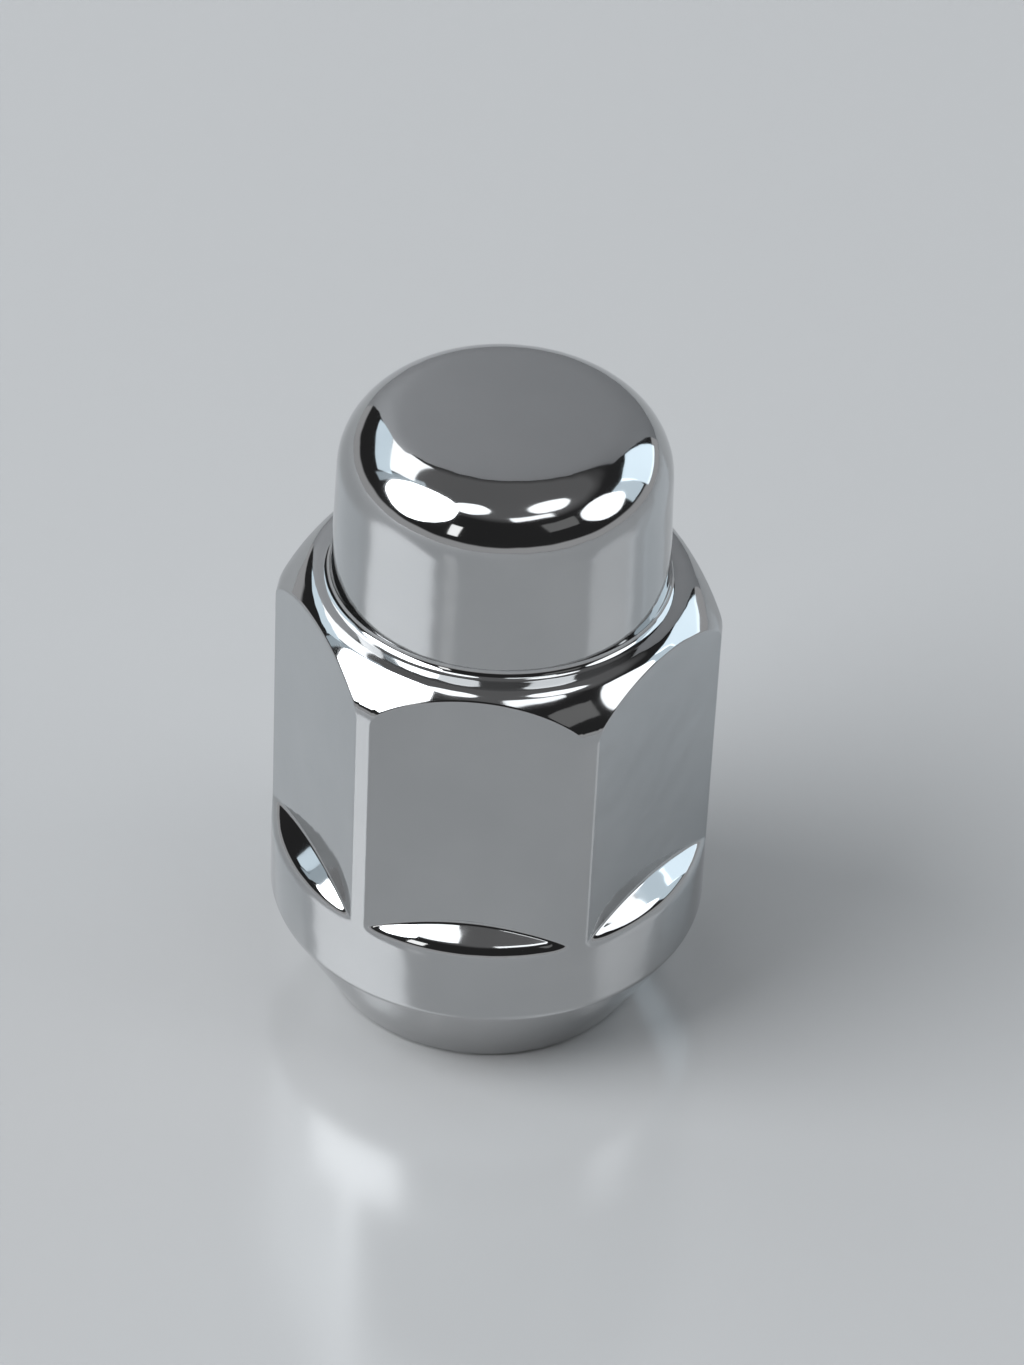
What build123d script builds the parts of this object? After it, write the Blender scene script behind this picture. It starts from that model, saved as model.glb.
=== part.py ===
from build123d import *

import os
from math import radians, sqrt, tan

# A closed-end lug nut, cold formed in one piece. From the bottom up it has a
# conical seat that centres the wheel, a short round base, a hexagon with
# chamfered corners, a narrow shoulder and a tapered cap with a rounded rim.
# A blind threaded hole enters through the seat; its wall is drawn at the
# thread's minor diameter. Millimetres, +Z up the axis, with the origin at the
# middle of the seat's end ring and one flat of the hexagon facing -Y.

# Hexagon and round base
across_flats = 19.0
body_diameter = 21.5
flat_foot_height = 9.1
ledge_slope = 0.7
corner_height = 22.0

# Conical seat
seat_angle = 60.0
seat_height = 5.0

# Shoulder and cap; the chamfer bulges slightly between the wall and the shoulder
shoulder_diameter = 18.1
shoulder_height = 23.95
chamfer_arc_radius = 6.5
cap_foot_diameter = 16.25
cap_foot_height = 24.1
cap_top_diameter = 15.7
crown_radius = 75.0
overall_height = 33.4

# Thread M12 x 1.5 in a blind drilled hole with a countersunk mouth
thread_diameter = 12.0
thread_pitch = 1.5
depth_per_pitch = 1.0825
minor_diameter = thread_diameter - depth_per_pitch * thread_pitch
drill_depth = 25.0
drill_point_angle = 118.0
mouth_diameter = 12.8
countersink_angle = 90.0

# Rounding of each edge
seat_end_round = 0.4
base_round = 0.8
corner_round = 1.5
shoulder_round = 1.2
cap_foot_fillet = 0.45
cap_round = 3.2
flat_edge_round = 0.2

# The sharp corners of the round blank's outline, as (radius, height), from
# the seat's end up to the cap, and the rounding of each
body_radius = body_diameter / 2
cap_top_radius = cap_top_diameter / 2
seat_end_radius = body_radius - seat_height * tan(radians(seat_angle / 2))
crown_edge_height = overall_height - crown_radius + sqrt(crown_radius**2 - cap_top_radius**2)
seat_end = (seat_end_radius, 0)
seat_top = (body_radius, seat_height)
wall_top = (body_radius, corner_height)
shoulder = (shoulder_diameter / 2, shoulder_height)
cap_foot = (cap_foot_diameter / 2, cap_foot_height)
cap_top = (cap_top_radius, crown_edge_height)
roundings = {
    seat_end: seat_end_round,
    seat_top: base_round,
    wall_top: corner_round,
    shoulder: shoulder_round,
    cap_foot: cap_foot_fillet,
    cap_top: cap_round,
}

# What the forming takes off the blank to leave the six flats: all that is
# outside the hexagon, down to a ledge that slopes outwards to the round base
cutter_margin = 1.0
cutter_outer_radius = body_radius + cutter_margin
cutter_inner_radius = across_flats / 2 - cutter_margin
ledge_outer_height = flat_foot_height - ledge_slope * cutter_margin
ledge_inner_height = flat_foot_height + ledge_slope * (body_radius - cutter_inner_radius)

with BuildPart() as flat_cutter:
    with BuildSketch(Plane.XZ):
        with BuildLine():
            Polyline(
                (cutter_inner_radius, ledge_inner_height),
                (cutter_outer_radius, ledge_outer_height),
                (cutter_outer_radius, shoulder_height),
                (cutter_inner_radius, shoulder_height),
                close=True,
            )
        make_face()
    revolve(axis=Axis.Z)
    with BuildSketch(Plane.XY):
        RegularPolygon(across_flats / 2, side_count=6, major_radius=False)
    extrude(amount=overall_height, mode=Mode.SUBTRACT)

# The hole's section: countersink, wall and drill point
hole_radius = minor_diameter / 2
mouth_radius = mouth_diameter / 2
countersink_depth = (mouth_radius - hole_radius) / tan(radians(countersink_angle / 2))
drill_point_depth = hole_radius / tan(radians(drill_point_angle / 2))

with BuildPart() as lug_nut:
    # Round blank
    with BuildSketch(Plane.XZ) as blank_section:
        with BuildLine():
            Polyline((0, overall_height), (0, 0), seat_end, seat_top, wall_top)
            RadiusArc(wall_top, shoulder, -chamfer_arc_radius)
            Polyline(shoulder, cap_foot, cap_top)
            RadiusArc(cap_top, (0, overall_height), -crown_radius)
        make_face()
        for corner, rounding in roundings.items():
            fillet(blank_section.vertices().sort_by_distance(corner)[0], rounding)
    revolve(axis=Axis.Z)

    # Hexagon, with the outline of each flat and the foot of each ledge softened
    add(flat_cutter.part, mode=Mode.SUBTRACT)
    flats = faces().filter_by(GeomType.PLANE).filter_by(Plane.XY, reverse=True)
    ledge_feet = edges().filter_by_position(Axis.Z, flat_foot_height, flat_foot_height)
    fillet(flats.edges() + ledge_feet, flat_edge_round)

    # Blind hole
    with BuildSketch(Plane.XZ):
        with BuildLine():
            Polyline(
                (0, 0),
                (mouth_radius, 0),
                (hole_radius, countersink_depth),
                (hole_radius, drill_depth),
                (0, drill_depth + drill_point_depth),
                close=True,
            )
        make_face()
    revolve(axis=Axis.Z, mode=Mode.SUBTRACT)

lug_nut.part.label = "lug_nut"
os.makedirs("parts", exist_ok=True)
export_step(lug_nut.part, "parts/lug_nut.step")
print("lug_nut", round(lug_nut.part.volume, 1), "mm3, valid", lug_nut.part.is_valid)
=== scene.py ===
"""A chrome-plated, closed-end lug nut standing on its conical seat, on a pale studio floor."""

from math import acos, asin, atan, atan2, ceil, copysign, cos, hypot, pi, radians, sin, sqrt, tan

import bpy
from mathutils import Matrix, Vector


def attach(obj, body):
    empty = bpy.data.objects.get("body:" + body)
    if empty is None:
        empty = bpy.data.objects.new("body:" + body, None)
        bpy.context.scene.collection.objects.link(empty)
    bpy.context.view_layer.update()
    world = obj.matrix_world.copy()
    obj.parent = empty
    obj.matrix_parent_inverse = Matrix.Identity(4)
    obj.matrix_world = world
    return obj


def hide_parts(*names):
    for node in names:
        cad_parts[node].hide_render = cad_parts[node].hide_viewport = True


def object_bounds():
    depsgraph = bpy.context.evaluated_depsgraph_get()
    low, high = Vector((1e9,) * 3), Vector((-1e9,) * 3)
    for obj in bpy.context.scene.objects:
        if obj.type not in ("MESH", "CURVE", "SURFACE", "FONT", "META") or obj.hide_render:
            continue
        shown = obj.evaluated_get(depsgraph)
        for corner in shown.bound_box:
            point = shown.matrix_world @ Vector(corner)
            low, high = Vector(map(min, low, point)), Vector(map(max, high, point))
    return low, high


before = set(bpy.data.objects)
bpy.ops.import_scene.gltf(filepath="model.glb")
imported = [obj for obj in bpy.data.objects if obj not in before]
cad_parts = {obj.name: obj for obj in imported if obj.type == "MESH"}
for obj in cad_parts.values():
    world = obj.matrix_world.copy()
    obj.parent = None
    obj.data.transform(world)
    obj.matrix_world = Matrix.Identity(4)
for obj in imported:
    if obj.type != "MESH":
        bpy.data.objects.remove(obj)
cad_low, cad_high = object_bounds()

mm = 0.001

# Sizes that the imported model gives
body_radius = (cad_high.x - cad_low.x) / 2
overall_height = cad_high.z

# Hexagon and round base
half_across_flats = 19.0 * mm / 2
flat_foot_height = 9.1 * mm
ledge_slope = 0.7
corner_height = 22.0 * mm
flat_spacing = pi / 3

# Conical seat
seat_angle = radians(60)
seat_height = 5.0 * mm

# Shoulder and cap
shoulder_radius = 9.05 * mm
shoulder_height = 23.95 * mm
chamfer_arc_radius = 6.5 * mm
cap_foot_radius = 8.125 * mm
cap_foot_height = 24.1 * mm
cap_top_radius = 7.85 * mm
crown_radius = 75.0 * mm

# Thread M12 x 1.5 in a drilled, countersunk hole
thread_pitch = 1.5 * mm
thread_radius = 6.0 * mm
thread_half_angle = radians(30)
hole_radius = 5.188 * mm
mouth_radius = 6.4 * mm
drill_depth = 25.0 * mm
drill_point_angle = radians(118)
tapped_depth = 22.3 * mm
drill_tip_height = drill_depth + hole_radius / tan(drill_point_angle / 2)

# Rounding of each edge
seat_end_round = 0.4 * mm
base_round = 0.8 * mm
ledge_foot_round = 1.0 * mm
ledge_top_round = 0.25 * mm
flat_edge_round = 0.2 * mm
corner_round = 1.5 * mm
shoulder_round = 1.2 * mm
cap_foot_fillet = 0.45 * mm
cap_round = 3.2 * mm

# Fineness of the meshes
round_steps = 720
bore_steps = 96
arc_step = radians(6)
crown_steps = 8
corner_steps = 8
ledge_arc_steps = 6
flat_edge_steps = 3
chamfer_rings = 12
close_ring_gap = 0.01 * mm
same_point = 0.001 * mm

# Faces that look the same way within the first angle are joined into a flat. Edges under the second are
# shaded smooth, by the full weight of the largest face beside them.
same_direction = radians(0.05)
smooth_angle = radians(25)
largest_face_weight = 100

# How many rings of the wall become the ledges, and the height of the band that becomes an arch's edge
ledge_rings = 2 * (ledge_arc_steps + 1)
flat_edge_band = flat_edge_steps * close_ring_gap

# How far the cutting tools reach past what they cut, and the tap's core inside the hole's wall
tool_margin = 1.0 * mm
tap_spare_turns = 2
tap_core_gap = 0.1 * mm


# ---- Drawing and turning ---------------------------------------------------

def start_section(name, start):
    """Opens a new piece in edit mode, with the pen on the first point (radius, height) of its section."""
    bpy.ops.object.select_all(action="DESELECT")
    bpy.ops.mesh.primitive_plane_add(size=mm)
    piece = bpy.context.object
    piece.name = name
    bpy.ops.object.mode_set(mode="EDIT")
    bpy.ops.mesh.select_all(action="SELECT")
    bpy.ops.mesh.merge(type="CENTER")
    bpy.ops.transform.translate(value=(start[0], 0, start[1]))
    return piece


def line_by(step):
    """Draws a straight line from the pen, by a step of (radius, height)."""
    bpy.ops.mesh.extrude_region_move(TRANSFORM_OT_translate={"value": (step[0], 0, step[1])})


def arc_about(centre, turn):
    """Draws an arc from the pen; a positive turn is anticlockwise."""
    steps = ceil(abs(turn) / arc_step)
    bpy.ops.mesh.spin(steps=steps, angle=turn, center=(centre[0], 0, centre[1]), axis=(0, 1, 0))


def draw_through(corners):
    """Draws through corners of (radius, height, rounding), from the first towards the last.
    The pen stops where the last corner but one has been rounded, and that point is returned."""
    points = [Vector(corner[:2]) for corner in corners]
    pen = points[0]
    for before, corner, after, (_, _, rounding) in zip(points, points[1:], points[2:], corners[1:]):
        way_in = (corner - before).normalized()
        way_out = (after - corner).normalized()
        if not rounding:
            line_by(corner - pen)
            pen = corner
            continue
        turn = way_out.angle_signed(way_in)
        reach = rounding * tan(abs(turn) / 2)
        arc_start = corner - way_in * reach
        line_by(arc_start - pen)
        inwards = Vector((-way_in.y, way_in.x)) * copysign(rounding, turn)
        arc_about(arc_start + inwards, turn)
        pen = corner + way_out * reach
    return pen


def wind_section(piece, steps, turns=1, rise=0):
    """Turns the section round the axis, with a rise in each turn, and leaves the piece in edit mode."""
    bpy.ops.object.mode_set(mode="OBJECT")
    winding = piece.modifiers.new("winding", "SCREW")
    winding.axis = "Z"
    winding.steps = steps
    winding.render_steps = steps
    winding.iterations = turns
    winding.screw_offset = rise
    winding.use_merge_vertices = True
    winding.merge_threshold = same_point
    bpy.ops.object.modifier_apply(modifier=winding.name)
    bpy.ops.object.mode_set(mode="EDIT")


def close_piece():
    """Merges what meets, points the faces outwards and leaves edit mode."""
    bpy.ops.mesh.select_all(action="SELECT")
    bpy.ops.mesh.remove_doubles(threshold=same_point)
    bpy.ops.mesh.normals_make_consistent(inside=False)
    bpy.ops.object.mode_set(mode="OBJECT")


# ---- The round blank -------------------------------------------------------

def towards(angle):
    """A unit step of (radius, height) at an angle up from the horizontal."""
    return Vector((cos(angle), sin(angle)))


def slope_of(step):
    """The angle of a step of (radius, height) up from the horizontal."""
    return atan2(step.y, step.x)


def round_centre(on_line, way, inwards, rounding, circle_centre, circle_radius):
    """The centre of a round that touches a line and, further along its way, the inside of a circle."""
    offset = on_line + rounding * inwards - circle_centre
    along = offset.dot(way)
    rise = sqrt(along**2 - offset.length_squared + (circle_radius - rounding)**2) - along
    return circle_centre + offset + rise * way


# The chamfer bulges a little, between the sharp corners of the wall and the shoulder
wall_corner = Vector((body_radius, corner_height))
shoulder_corner = Vector((shoulder_radius, shoulder_height))
cap_foot = Vector((cap_foot_radius, cap_foot_height))
chamfer_chord = shoulder_corner - wall_corner
chamfer_inset = sqrt(chamfer_arc_radius**2 - chamfer_chord.length_squared / 4)
out_of_the_chamfer = towards(slope_of(chamfer_chord) - pi / 2)
chamfer_centre = (wall_corner + shoulder_corner) / 2 - out_of_the_chamfer * chamfer_inset

# The round from the wall into the chamfer
corner_centre = round_centre(
    wall_corner, Vector((0, 1)), Vector((-1, 0)), corner_round, chamfer_centre, chamfer_arc_radius)
corner_bend = slope_of(corner_centre - chamfer_centre)
corner_length = corner_round * corner_bend

# How far up the chamfer the flats' arches may move its rings
arch_limit_radius = 9.35 * mm
arch_limit_bend = acos((arch_limit_radius - chamfer_centre.x) / chamfer_arc_radius)
arch_length = corner_length + chamfer_arc_radius * (arch_limit_bend - corner_bend)


def chamfer_outline(way):
    """The point (radius, height) of the blank's outline that is `way` past the start of its corner."""
    if way < corner_length:
        return corner_centre + corner_round * towards(way / corner_round)
    bend = corner_bend + (way - corner_length) / chamfer_arc_radius
    return chamfer_centre + chamfer_arc_radius * towards(bend)


def chamfer_way(radius, height):
    """How far a point of the blank's outline lies past the start of its corner; below it, less than 0."""
    place = Vector((radius, height))
    if height <= corner_centre.y:
        return height - corner_centre.y
    angle = slope_of(place - corner_centre)
    if angle < corner_bend:
        return angle * corner_round
    return corner_length + (slope_of(place - chamfer_centre) - corner_bend) * chamfer_arc_radius


def close_rings(lowest, count):
    """Rings of the wall, close together, that a die later spreads round an edge."""
    return [(body_radius, lowest + ring * close_ring_gap, 0) for ring in range(count)]


def chamfer_points():
    """The section's points round the corner and up the chamfer, whose rings the flats' arches move."""
    corner_ways = [corner_length * step / corner_steps for step in range(corner_steps)]
    spacing = (arch_length - corner_length) / chamfer_rings
    chamfer_ways = [corner_length + spacing * ring for ring in range(chamfer_rings + 1)]
    return [(*chamfer_outline(way), 0) for way in corner_ways + chamfer_ways]


def sharp_shoulder():
    """The point where the top of the bulging chamfer and the shoulder's upper face would meet."""
    out_of_the_face = slope_of(cap_foot - shoulder_corner) - pi / 2
    along_the_face = towards(out_of_the_face - pi / 2)
    centre = round_centre(shoulder_corner, along_the_face, -towards(out_of_the_face),
                          shoulder_round, chamfer_centre, chamfer_arc_radius)
    half_turn = (out_of_the_face - slope_of(centre - chamfer_centre)) / 2
    return centre + shoulder_round / cos(half_turn) * towards(out_of_the_face - half_turn)


def draw_cap_top(wall_start, wall_top):
    """Draws the cap's straight wall, its rounded rim and its slightly domed crown."""
    up_the_wall = (wall_top - cap_foot).normalized()
    inwards = Vector((-up_the_wall.y, up_the_wall.x))
    crown_centre = Vector((0, overall_height - crown_radius))
    rim_centre = round_centre(cap_foot, up_the_wall, inwards, cap_round, crown_centre, crown_radius)
    rim_start = rim_centre - cap_round * inwards
    crown_half_angle = asin(rim_centre.x / (crown_radius - cap_round))
    wall_lean = slope_of(up_the_wall) - pi / 2
    line_by(rim_start - wall_start)
    arc_about(rim_centre, pi / 2 - wall_lean - crown_half_angle)
    bpy.ops.mesh.spin(steps=crown_steps, angle=crown_half_angle,
                      center=(0, 0, crown_centre.y), axis=(0, 1, 0))


def make_blank():
    """The nut before its flats are formed and its hole is drilled: all that a lathe could turn."""
    seat_end_radius = body_radius - seat_height * tan(seat_angle / 2)
    crown_edge_height = overall_height - crown_radius + sqrt(crown_radius**2 - cap_top_radius**2)
    nut = start_section("chrome_lug_nut", (0, 0))
    wall_start = draw_through([
        (0, 0, 0),
        (seat_end_radius, 0, seat_end_round),
        (body_radius, seat_height, base_round),
        *close_rings(flat_foot_height, ledge_rings),
        *close_rings(corner_centre.y - flat_edge_band, flat_edge_steps),
        *chamfer_points(),
        (*sharp_shoulder(), shoulder_round),
        (cap_foot_radius, cap_foot_height, cap_foot_fillet),
        (cap_top_radius, crown_edge_height, 0),
    ])
    draw_cap_top(wall_start, Vector((cap_top_radius, crown_edge_height)))
    wind_section(nut, round_steps)
    close_piece()
    return nut


# ---- The hexagon -----------------------------------------------------------

def turn_from_flat(x, y):
    """The angle of a place or a normal from the middle of the nearest flat, seen along the axis."""
    return atan2(y, x) % flat_spacing - flat_spacing / 2


def flat_depth(turn):
    """How deep the die presses the blank, at an angle from the middle of the nearest flat."""
    edge_centre_radius = body_radius - flat_edge_round
    round_end = acos((half_across_flats - flat_edge_round) / edge_centre_radius)
    round_start = atan(edge_centre_radius * sin(round_end) / half_across_flats)
    if abs(turn) >= round_end:
        return 0
    if abs(turn) > round_start:
        short = round_end - abs(turn)
        across = sqrt(flat_edge_round**2 - (edge_centre_radius * sin(short))**2)
        return body_radius - edge_centre_radius * cos(short) - across
    return body_radius - half_across_flats / cos(turn)


def ledge_place(ring, depth):
    """Where a ledge ring ends up, as (radius, height): round the ledge's outer edge, or round its root.
    Near the ends of a ledge, where it is narrow, both rounds bend less and leave nothing straight."""
    both_rounds = ledge_foot_round + ledge_top_round
    bend = acos(max(1 - depth / both_rounds, sin(atan(ledge_slope))))
    if ring <= ledge_arc_steps:
        angle = bend * ring / ledge_arc_steps
        inflection = ledge_foot_round * (1 - cos(bend))
        return (body_radius - ledge_foot_round * (1 - cos(angle)),
                flat_foot_height + ledge_slope * inflection - ledge_foot_round * (sin(bend) - sin(angle)))
    angle = bend * (ledge_rings - 1 - ring) / ledge_arc_steps
    inflection = depth - ledge_top_round * (1 - cos(bend))
    return (body_radius - depth + ledge_top_round * (1 - cos(angle)),
            flat_foot_height + ledge_slope * inflection + ledge_top_round * (sin(bend) - sin(angle)))


def arch_place(way, depth):
    """Where a point of the wall's top ends up, as (radius, height): round the edge of a flat's arch, or
    on the part of the blank's corner and chamfer that the arch leaves."""
    edge_centre_radius = body_radius - depth - flat_edge_round
    across_corner = (edge_centre_radius - corner_centre.x) / (corner_round - flat_edge_round)
    if across_corner > cos(corner_bend):
        bend = acos(min(across_corner, 1))
        edge_way = corner_round * bend
    else:
        bend = acos((edge_centre_radius - chamfer_centre.x) / (chamfer_arc_radius - flat_edge_round))
        edge_way = corner_length + chamfer_arc_radius * (bend - corner_bend)
    if way > 0:
        return chamfer_outline(edge_way + way * (1 - edge_way / arch_length))
    angle = bend * (1 + way / flat_edge_band)
    return chamfer_outline(edge_way) + flat_edge_round * (towards(angle) - towards(bend))


def press_flats(nut):
    """Presses six flats into the blank: between the ledges and the arches the wall moves straight in."""
    highest_ledge_ring = flat_foot_height + (ledge_rings - 1) * close_ring_gap
    for vertex in nut.data.vertices:
        x, y, height = vertex.co
        radius = hypot(x, y)
        if height < flat_foot_height - same_point or radius < arch_limit_radius - same_point:
            continue
        depth = flat_depth(turn_from_flat(x, y))
        if height < highest_ledge_ring + same_point:
            place = ledge_place(round((height - flat_foot_height) / close_ring_gap), depth)
        else:
            place = arch_place(chamfer_way(radius, height), depth)
        vertex.co = (x * place[0] / radius, y * place[0] / radius, place[1])
    nut.data.update()


def select_faces(piece, is_wanted):
    """Selects the faces that a test of their centre and normal picks, and leaves edit mode on faces."""
    bpy.ops.object.mode_set(mode="EDIT")
    bpy.ops.mesh.select_mode(type="FACE")
    bpy.ops.mesh.select_all(action="DESELECT")
    bpy.ops.object.mode_set(mode="OBJECT")
    for face in piece.data.polygons:
        face.select = is_wanted(face.center, face.normal)
    bpy.ops.object.mode_set(mode="EDIT")


def leave_faces():
    """Leaves edit mode, back on vertices for the next piece."""
    bpy.ops.mesh.select_mode(type="VERT")
    bpy.ops.object.mode_set(mode="OBJECT")


def join_flats(nut):
    """Makes each flat one face, so that its mirror is truly flat."""

    def on_a_flat(centre, normal):
        """Whether a face looks straight out of a flat."""
        turn = turn_from_flat(normal.x, normal.y)
        return hypot(normal.x, normal.y) * cos(turn) > cos(same_direction)

    select_faces(nut, on_a_flat)
    bpy.ops.mesh.dissolve_faces()
    leave_faces()


# ---- The threaded hole -----------------------------------------------------

def make_drill():
    """The countersink, the drill and its point in one turned cutter."""
    drill = start_section("drill", (0, -tool_margin))
    corners = [
        (0, -tool_margin),
        (mouth_radius + tool_margin, -tool_margin),
        (hole_radius, mouth_radius - hole_radius),
        (hole_radius, drill_depth),
        (0, drill_tip_height),
    ]
    for before, after in zip(corners, corners[1:]):
        line_by((after[0] - before[0], after[1] - before[1]))
    wind_section(drill, bore_steps)
    close_piece()
    return drill


def make_tap():
    """A tap: the thread's own form, wound up a core a little thinner than the hole."""
    core_radius = hole_radius - tap_core_gap
    # A thread is cut off flat at an eighth of its pitch
    root_width = thread_pitch / 8
    flank = (thread_radius - core_radius) * tan(thread_half_angle)
    tap = start_section("tap", (core_radius, -tap_spare_turns * thread_pitch))
    line_by((thread_radius - core_radius, flank))
    line_by((0, root_width))
    line_by((core_radius - thread_radius, flank))
    line_by((0, thread_pitch - 2 * flank - root_width))
    turns = ceil(tapped_depth / thread_pitch) + 2 * tap_spare_turns
    wind_section(tap, bore_steps, turns, thread_pitch)
    for height, up in ((-tool_margin, -1), (tapped_depth, 1)):
        bpy.ops.mesh.select_all(action="SELECT")
        bpy.ops.mesh.bisect(plane_co=(0, 0, height), plane_no=(0, 0, up), use_fill=True, clear_outer=True)
    close_piece()
    return tap


def make_active(piece):
    """Makes a piece the only selected one."""
    bpy.ops.object.select_all(action="DESELECT")
    bpy.context.view_layer.objects.active = piece
    piece.select_set(True)


def cut_with(nut, tool):
    """Cuts a tool's form out of the nut, and puts the tool away."""
    make_active(nut)
    cut = nut.modifiers.new("cut", "BOOLEAN")
    cut.operation = "DIFFERENCE"
    cut.solver = "EXACT"
    cut.object = tool
    bpy.ops.object.modifier_apply(modifier=cut.name)
    bpy.data.objects.remove(tool)


# ---- Finishes --------------------------------------------------------------

# The two tones that each metal's colour lies between
chrome_tones = ((0.465, 0.471, 0.474, 1), (0.495, 0.500, 0.502, 1))
steel_tones = ((0.24, 0.225, 0.21, 1), (0.42, 0.41, 0.40, 1))

ripple_depth = 0.016 * mm
tool_mark_depth = 0.008 * mm
tool_marks_per_metre = 12000
tool_mark_squeeze = 0.05
tool_mark_detail = 2

# Noise seldom leaves this range, so the patches take all of their own range from it
noise_low = 0.3
noise_high = 0.7
patch_detail = 4


def new_group(name, inputs, output):
    """A shader node group with number inputs, given with their usual values, and one number output."""
    group = bpy.data.node_groups.new(name, "ShaderNodeTree")
    for title, value in inputs.items():
        socket = group.interface.new_socket(title, in_out="INPUT", socket_type="NodeSocketFloat")
        socket.default_value = value
    group.interface.new_socket(output, in_out="OUTPUT", socket_type="NodeSocketFloat")
    return group, group.nodes.new("NodeGroupInput"), group.nodes.new("NodeGroupOutput")


def make_ripple_group():
    """The slow waves of a formed and plated surface, as a height from 0 to 1."""
    group, given, result = new_group(
        "surface_ripple", {"Waves per Metre": 400, "Unevenness": 1.5}, "Height")
    place = group.nodes.new("ShaderNodeTexCoord")
    waves = group.nodes.new("ShaderNodeTexNoise")
    group.links.new(place.outputs["Object"], waves.inputs["Vector"])
    group.links.new(given.outputs["Waves per Metre"], waves.inputs["Scale"])
    group.links.new(given.outputs["Unevenness"], waves.inputs["Detail"])
    group.links.new(waves.outputs["Fac"], result.inputs["Height"])
    return group


def make_patches_group():
    """Soft patches between two values, for how evenly a surface is polished."""
    group, given, result = new_group(
        "finish_patches", {"Patches per Metre": 200, "Least": 0.02, "Most": 0.06}, "Value")
    place = group.nodes.new("ShaderNodeTexCoord")
    patches = group.nodes.new("ShaderNodeTexNoise")
    patches.inputs["Detail"].default_value = patch_detail
    spread = group.nodes.new("ShaderNodeMapRange")
    spread.interpolation_type = "SMOOTHSTEP"
    spread.inputs["From Min"].default_value = noise_low
    spread.inputs["From Max"].default_value = noise_high
    group.links.new(place.outputs["Object"], patches.inputs["Vector"])
    group.links.new(given.outputs["Patches per Metre"], patches.inputs["Scale"])
    group.links.new(patches.outputs["Fac"], spread.inputs["Value"])
    group.links.new(given.outputs["Least"], spread.inputs["To Min"])
    group.links.new(given.outputs["Most"], spread.inputs["To Max"])
    group.links.new(spread.outputs["Result"], result.inputs["Value"])
    return group


ripple_group = make_ripple_group()
patches_group = make_patches_group()


def new_material(name):
    """A material with nodes, and its Principled shader."""
    material = bpy.data.materials.new(name)
    material.use_nodes = True
    return material, material.node_tree.nodes["Principled BSDF"]


def add_group(material, group, **values):
    """Places a node group in a material, with its own values; an underscore stands for a space."""
    node = material.node_tree.nodes.new("ShaderNodeGroup")
    node.node_tree = group
    for title, value in values.items():
        node.inputs[title.replace("_", " ")].default_value = value
    return node


def add_bump(material, shader, height, depth):
    """Lets a height from 0 to 1 stand for a real depth."""
    bump = material.node_tree.nodes.new("ShaderNodeBump")
    bump.inputs["Strength"].default_value = 1
    bump.inputs["Distance"].default_value = depth
    material.node_tree.links.new(height, bump.inputs["Height"])
    material.node_tree.links.new(bump.outputs["Normal"], shader.inputs["Normal"])


def mix_tones(material, factor, tones):
    """Blends two tones by a factor from 0 to 1."""
    blend = material.node_tree.nodes.new("ShaderNodeMix")
    blend.data_type = "RGBA"
    blend.inputs["A"].default_value = tones[0]
    blend.inputs["B"].default_value = tones[1]
    material.node_tree.links.new(factor, blend.inputs["Factor"])
    return blend.outputs["Result"]


def make_chrome():
    """Bright chromium plate over formed steel: a mirror with slow ripples and faint patches."""
    chrome, shader = new_material("chrome_plate")
    links = chrome.node_tree.links
    shader.inputs["Metallic"].default_value = 1
    sheen = add_group(chrome, patches_group, Patches_per_Metre=160, Least=0, Most=1)
    links.new(mix_tones(chrome, sheen.outputs["Value"], chrome_tones), shader.inputs["Base Color"])
    polish = add_group(chrome, patches_group, Patches_per_Metre=300, Least=0.04, Most=0.075)
    links.new(polish.outputs["Value"], shader.inputs["Roughness"])
    ripple = add_group(chrome, ripple_group, Waves_per_Metre=650, Unevenness=1)
    add_bump(chrome, shader, ripple.outputs["Height"], ripple_depth)
    return chrome


def make_bore_steel():
    """The thin, dull plate inside the hole, over the marks of the drill and the tap."""
    steel, shader = new_material("bore_steel")
    nodes, links = steel.node_tree.nodes, steel.node_tree.links
    shader.inputs["Metallic"].default_value = 1
    stain = add_group(steel, patches_group, Patches_per_Metre=350, Least=0, Most=1)
    links.new(mix_tones(steel, stain.outputs["Value"], steel_tones), shader.inputs["Base Color"])
    dulling = add_group(steel, patches_group, Patches_per_Metre=900, Least=0.28, Most=0.5)
    links.new(dulling.outputs["Value"], shader.inputs["Roughness"])
    # Noise drawn out round the axis makes the rings that a cutting edge leaves
    place = nodes.new("ShaderNodeTexCoord")
    squeeze = nodes.new("ShaderNodeMapping")
    squeeze.inputs["Scale"].default_value = (tool_mark_squeeze, tool_mark_squeeze, 1)
    marks = nodes.new("ShaderNodeTexNoise")
    marks.inputs["Scale"].default_value = tool_marks_per_metre
    marks.inputs["Detail"].default_value = tool_mark_detail
    links.new(place.outputs["Object"], squeeze.inputs["Vector"])
    links.new(squeeze.outputs["Vector"], marks.inputs["Vector"])
    add_bump(steel, shader, marks.outputs["Fac"], tool_mark_depth)
    return steel


# ---- The nut ---------------------------------------------------------------

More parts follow.
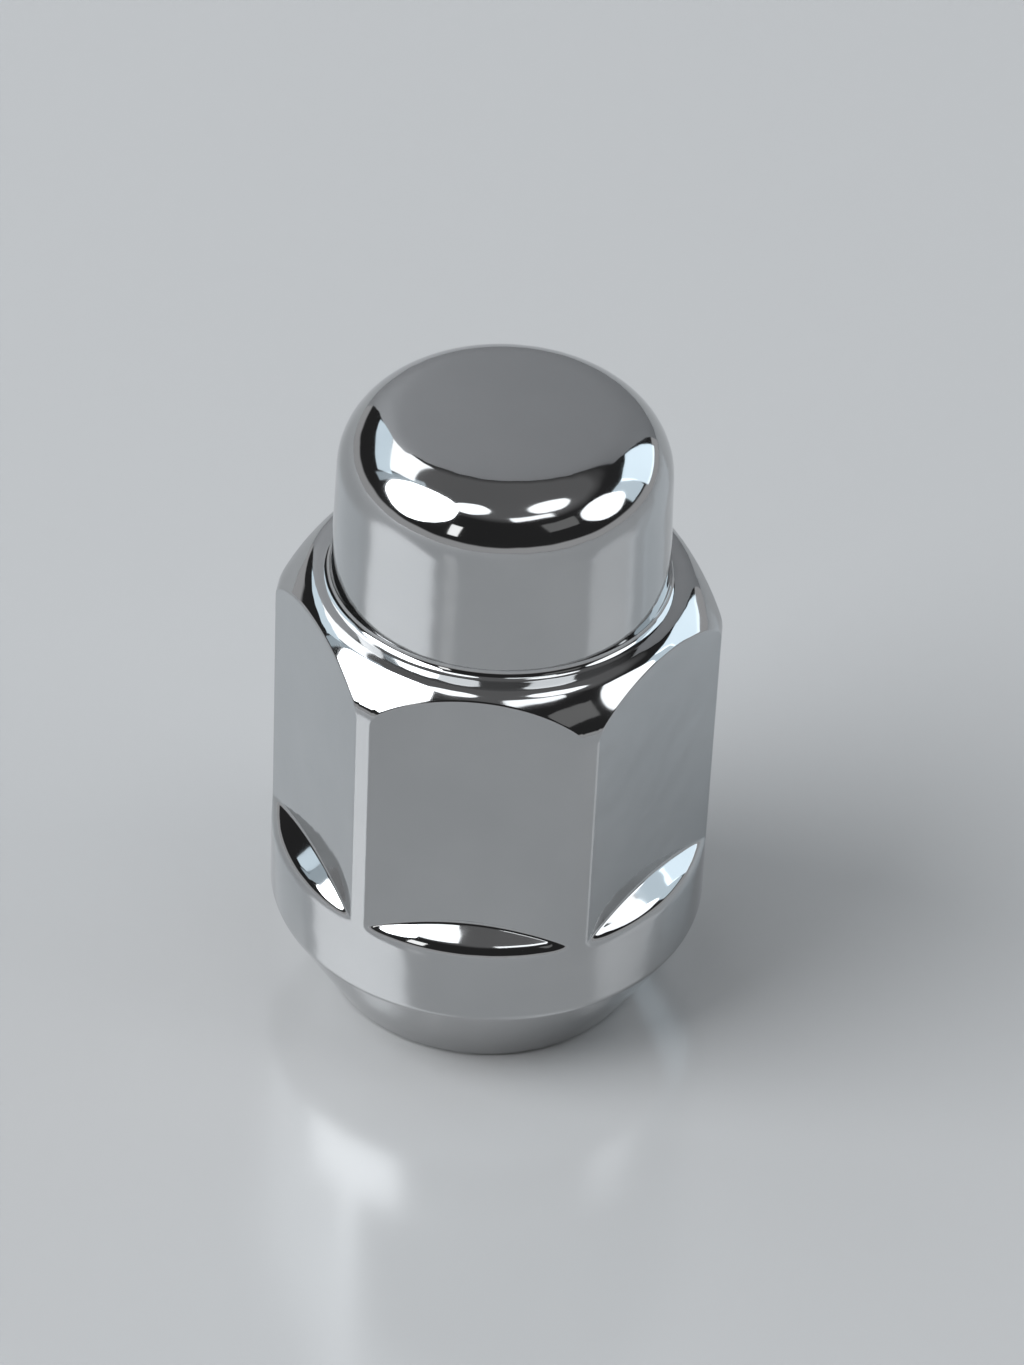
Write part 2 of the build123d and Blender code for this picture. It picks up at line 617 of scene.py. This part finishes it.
def finish_faces(nut):
    """Plates the outside, leaves the hole dull, and smooths the shading except at sharp edges."""
    nut.data.materials.clear()
    nut.data.materials.append(make_chrome())
    nut.data.materials.append(make_bore_steel())

    def in_the_hole(centre, normal):
        """Whether a face lies between the hole's mouth and its drill point."""
        return hypot(centre.x, centre.y) < mouth_radius and same_point < centre.z < drill_tip_height

    select_faces(nut, in_the_hole)
    nut.active_material_index = 1
    bpy.ops.object.material_slot_assign()
    leave_faces()
    bpy.ops.object.shade_smooth_by_angle(angle=smooth_angle)
    evening = nut.modifiers.new("evening", "WEIGHTED_NORMAL")
    evening.mode = "FACE_AREA"
    evening.weight = largest_face_weight
    evening.keep_sharp = True
    bpy.ops.object.modifier_apply(modifier=evening.name)


def make_nut():
    """Makes the nut in a workshop's order: blank, flats, drilled and tapped hole, finish."""
    nut = make_blank()
    press_flats(nut)
    cut_with(nut, make_drill())
    cut_with(nut, make_tap())
    make_active(nut)
    bpy.ops.object.mode_set(mode="EDIT")
    close_piece()
    join_flats(nut)
    finish_faces(nut)
    return nut


nut = make_nut()
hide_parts("lug_nut")
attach(nut, "root")


# ---- The studio ------------------------------------------------------------

floor_drop = 0.02 * mm
floor_radius = 3.0
floor_hole_radius = 7.4 * mm
floor_sides = 96
floor_tone = (0.455, 0.455, 0.455, 1)
backdrop_tone = (0.33, 0.33, 0.335, 1)
backdrop_distance = 1.8
backdrop_half_width = 1.17
backdrop_height = 2.3

# Directions are azimuths and elevations in degrees, as the nut sees them. Azimuth 0 is the front, and
# 90 is the right.
aim_height = 17.3 * mm
lamp_distance = 3.0

plain = (1.0, 1.0, 1.0)
haze = (0.94, 0.97, 1.0)
sky = (0.76, 0.90, 1.0)

# Large windows left and right, high strips between them, pale walls, and small lamps in the dark front.
# For each: name, azimuths, elevations, strength, colour and shape
lamps = (
    ("left_back_window", (-152, -103), (42, 57), 2.3, haze, "RECTANGLE"),
    ("left_back_sky", (-148, -103), (29, 42), 1.4, sky, "RECTANGLE"),
    ("left_wall", (-104, -95), (24, 60), 0.7, sky, "RECTANGLE"),
    ("left_window", (-97, -36), (15, 65), 6.6, haze, "ELLIPSE"),
    ("left_high_window", (-56, -11), (56, 74), 2.4, haze, "ELLIPSE"),
    ("right_high_window", (34, 98), (60, 76), 2.3, haze, "ELLIPSE"),
    ("right_window", (66, 104), (17, 48), 2.4, haze, "ELLIPSE"),
    ("right_wall", (99, 117), (12, 40), 1.2, sky, "RECTANGLE"),
    ("right_back_window", (116, 144), (7, 40), 1.9, sky, "RECTANGLE"),
    ("front_lamp", (-32, -24), (17, 34), 1.8, plain, "RECTANGLE"),
    ("front_high_lamp", (12, 54), (54, 60), 2.2, haze, "RECTANGLE"),
    ("front_right_wall", (36, 62), (30, 44), 0.2, plain, "RECTANGLE"),
)

# The brightness of the room at each elevation, and how much bluer than grey it is
room_levels = ((8, 0.5), (10, 0.03), (50, 0.03), (58, 0.17))
room_blue = 1.02


def from_direction(azimuth, elevation):
    """A unit vector towards an azimuth and an elevation."""
    azimuth, elevation = radians(azimuth), radians(elevation)
    return Vector((sin(azimuth) * cos(elevation), -cos(azimuth) * cos(elevation), sin(elevation)))


def make_paper(name, colour, gloss, roughness, one_sided):
    """Coated paper, with the same share of gloss from every angle. One-sided, it is clear from behind."""
    material = bpy.data.materials.new(name)
    material.use_nodes = True
    nodes, links = material.node_tree.nodes, material.node_tree.links
    nodes.remove(nodes["Principled BSDF"])
    paper = nodes.new("ShaderNodeBsdfDiffuse")
    paper.inputs["Color"].default_value = colour
    coating = nodes.new("ShaderNodeBsdfAnisotropic")
    coating.inputs["Color"].default_value = (1, 1, 1, 1)
    coating.inputs["Roughness"].default_value = roughness
    sheet = nodes.new("ShaderNodeMixShader")
    sheet.inputs["Fac"].default_value = gloss
    links.new(paper.outputs["BSDF"], sheet.inputs[1])
    links.new(coating.outputs["BSDF"], sheet.inputs[2])
    if one_sided:
        side = nodes.new("ShaderNodeNewGeometry")
        clear = nodes.new("ShaderNodeBsdfTransparent")
        choice = nodes.new("ShaderNodeMixShader")
        links.new(side.outputs["Backfacing"], choice.inputs["Fac"])
        links.new(sheet.outputs["Shader"], choice.inputs[1])
        links.new(clear.outputs["BSDF"], choice.inputs[2])
        sheet = choice
    links.new(sheet.outputs["Shader"], nodes["Material Output"].inputs["Surface"])
    return material


def make_floor():
    """A round floor with a hole under the nut's end ring, which lets the underside be looked at."""
    bpy.ops.object.select_all(action="DESELECT")
    bpy.ops.mesh.primitive_circle_add(vertices=floor_sides, radius=floor_hole_radius,
                                      location=(0, 0, -floor_drop))
    floor = bpy.context.object
    floor.name = "floor"
    bpy.ops.object.mode_set(mode="EDIT")
    bpy.ops.mesh.select_all(action="SELECT")
    bpy.ops.mesh.extrude_region_move()
    growth = floor_radius / floor_hole_radius
    bpy.ops.transform.resize(value=(growth, growth, 1), center_override=(0, 0, -floor_drop))
    bpy.ops.object.mode_set(mode="OBJECT")
    paper = make_paper("floor_paper", floor_tone, gloss=0.1, roughness=0.19, one_sided=True)
    floor.data.materials.append(paper)


def make_backdrop():
    """A pale card behind the nut, which the crown mirrors."""
    bpy.ops.object.select_all(action="DESELECT")
    bpy.ops.mesh.primitive_plane_add(size=2, location=(0, backdrop_distance, backdrop_height / 2),
                                     rotation=(pi / 2, 0, 0))
    backdrop = bpy.context.object
    backdrop.name = "backdrop"
    bpy.ops.transform.resize(value=(backdrop_half_width, 1, backdrop_height / 2))
    paper = make_paper("backdrop_paper", backdrop_tone, gloss=0.04, roughness=0.5, one_sided=False)
    backdrop.data.materials.append(paper)


def hang_lamp(name, azimuths, elevations, strength, colour, shape):
    """A lamp that fills those azimuths and elevations, as the nut sees it."""
    middle = from_direction(sum(azimuths) / 2, sum(elevations) / 2)
    spread = radians(azimuths[1] - azimuths[0]) / 2
    half_width = asin(sin(spread) * hypot(middle.x, middle.y))
    half_height = radians(elevations[1] - elevations[0]) / 2
    data = bpy.data.lights.new(name, "AREA")
    data.shape = shape
    data.size = 2 * lamp_distance * tan(half_width)
    data.size_y = 2 * lamp_distance * tan(half_height)
    area = data.size * data.size_y * (pi / 4 if shape == "ELLIPSE" else 1)
    data.energy = strength * pi * area
    data.color = colour
    lamp = bpy.data.objects.new(name, data)
    lamp.location = Vector((0, 0, aim_height)) + middle * lamp_distance
    lamp.rotation_euler = (-middle).to_track_quat("-Z", "Y").to_euler()
    lamp.visible_camera = False
    bpy.context.scene.collection.objects.link(lamp)


def make_surroundings():
    """The room beyond the lamps: pale down to the floor, dark at their height, and a dim ceiling."""
    world = bpy.data.worlds.new("studio")
    bpy.context.scene.world = world
    world.use_nodes = True
    nodes, links = world.node_tree.nodes, world.node_tree.links
    direction = nodes.new("ShaderNodeTexCoord")
    split = nodes.new("ShaderNodeSeparateXYZ")
    ramp = nodes.new("ShaderNodeValToRGB")
    stops = ramp.color_ramp.elements
    while len(stops) < len(room_levels):
        stops.new(1)
    for stop, (elevation, level) in zip(stops, room_levels):
        stop.position = sin(radians(elevation))
        stop.color = (level, level, room_blue * level, 1)
    links.new(direction.outputs["Generated"], split.inputs["Vector"])
    links.new(split.outputs["Z"], ramp.inputs["Fac"])
    links.new(ramp.outputs["Color"], nodes["Background"].inputs["Color"])


# ---- The camera ------------------------------------------------------------

camera_azimuth = 4.36
camera_elevation = 38.76
camera_roll = radians(2.82)
camera_distance = 265.7 * mm
aim_right = 0.8 * mm
nearest_seen = 10 * mm

# The lens that would show the nut small on a wide floor, and how much closer this view is
wide_lens = 57.9
closer = 2.5


def make_camera():
    """A camera above the front and a little to the right, turned a few degrees on its own axis."""
    back = from_direction(camera_azimuth, camera_elevation)
    right = from_direction(camera_azimuth + 90, 0)
    up = back.cross(right)
    camera_x = right * cos(camera_roll) + up * sin(camera_roll)
    camera_y = up * cos(camera_roll) - right * sin(camera_roll)
    place = Vector((0, 0, aim_height)) + right * aim_right + back * camera_distance
    data = bpy.data.cameras.new("camera")
    data.lens = wide_lens * closer
    data.clip_start = nearest_seen
    camera = bpy.data.objects.new("camera", data)
    camera.matrix_world = Matrix((camera_x, camera_y, back)).transposed().to_4x4()
    camera.location = place
    bpy.context.scene.collection.objects.link(camera)
    bpy.context.scene.camera = camera


make_floor()
make_backdrop()
for lamp in lamps:
    hang_lamp(*lamp)
make_surroundings()
make_camera()
bpy.context.scene.view_settings.view_transform = "Standard"
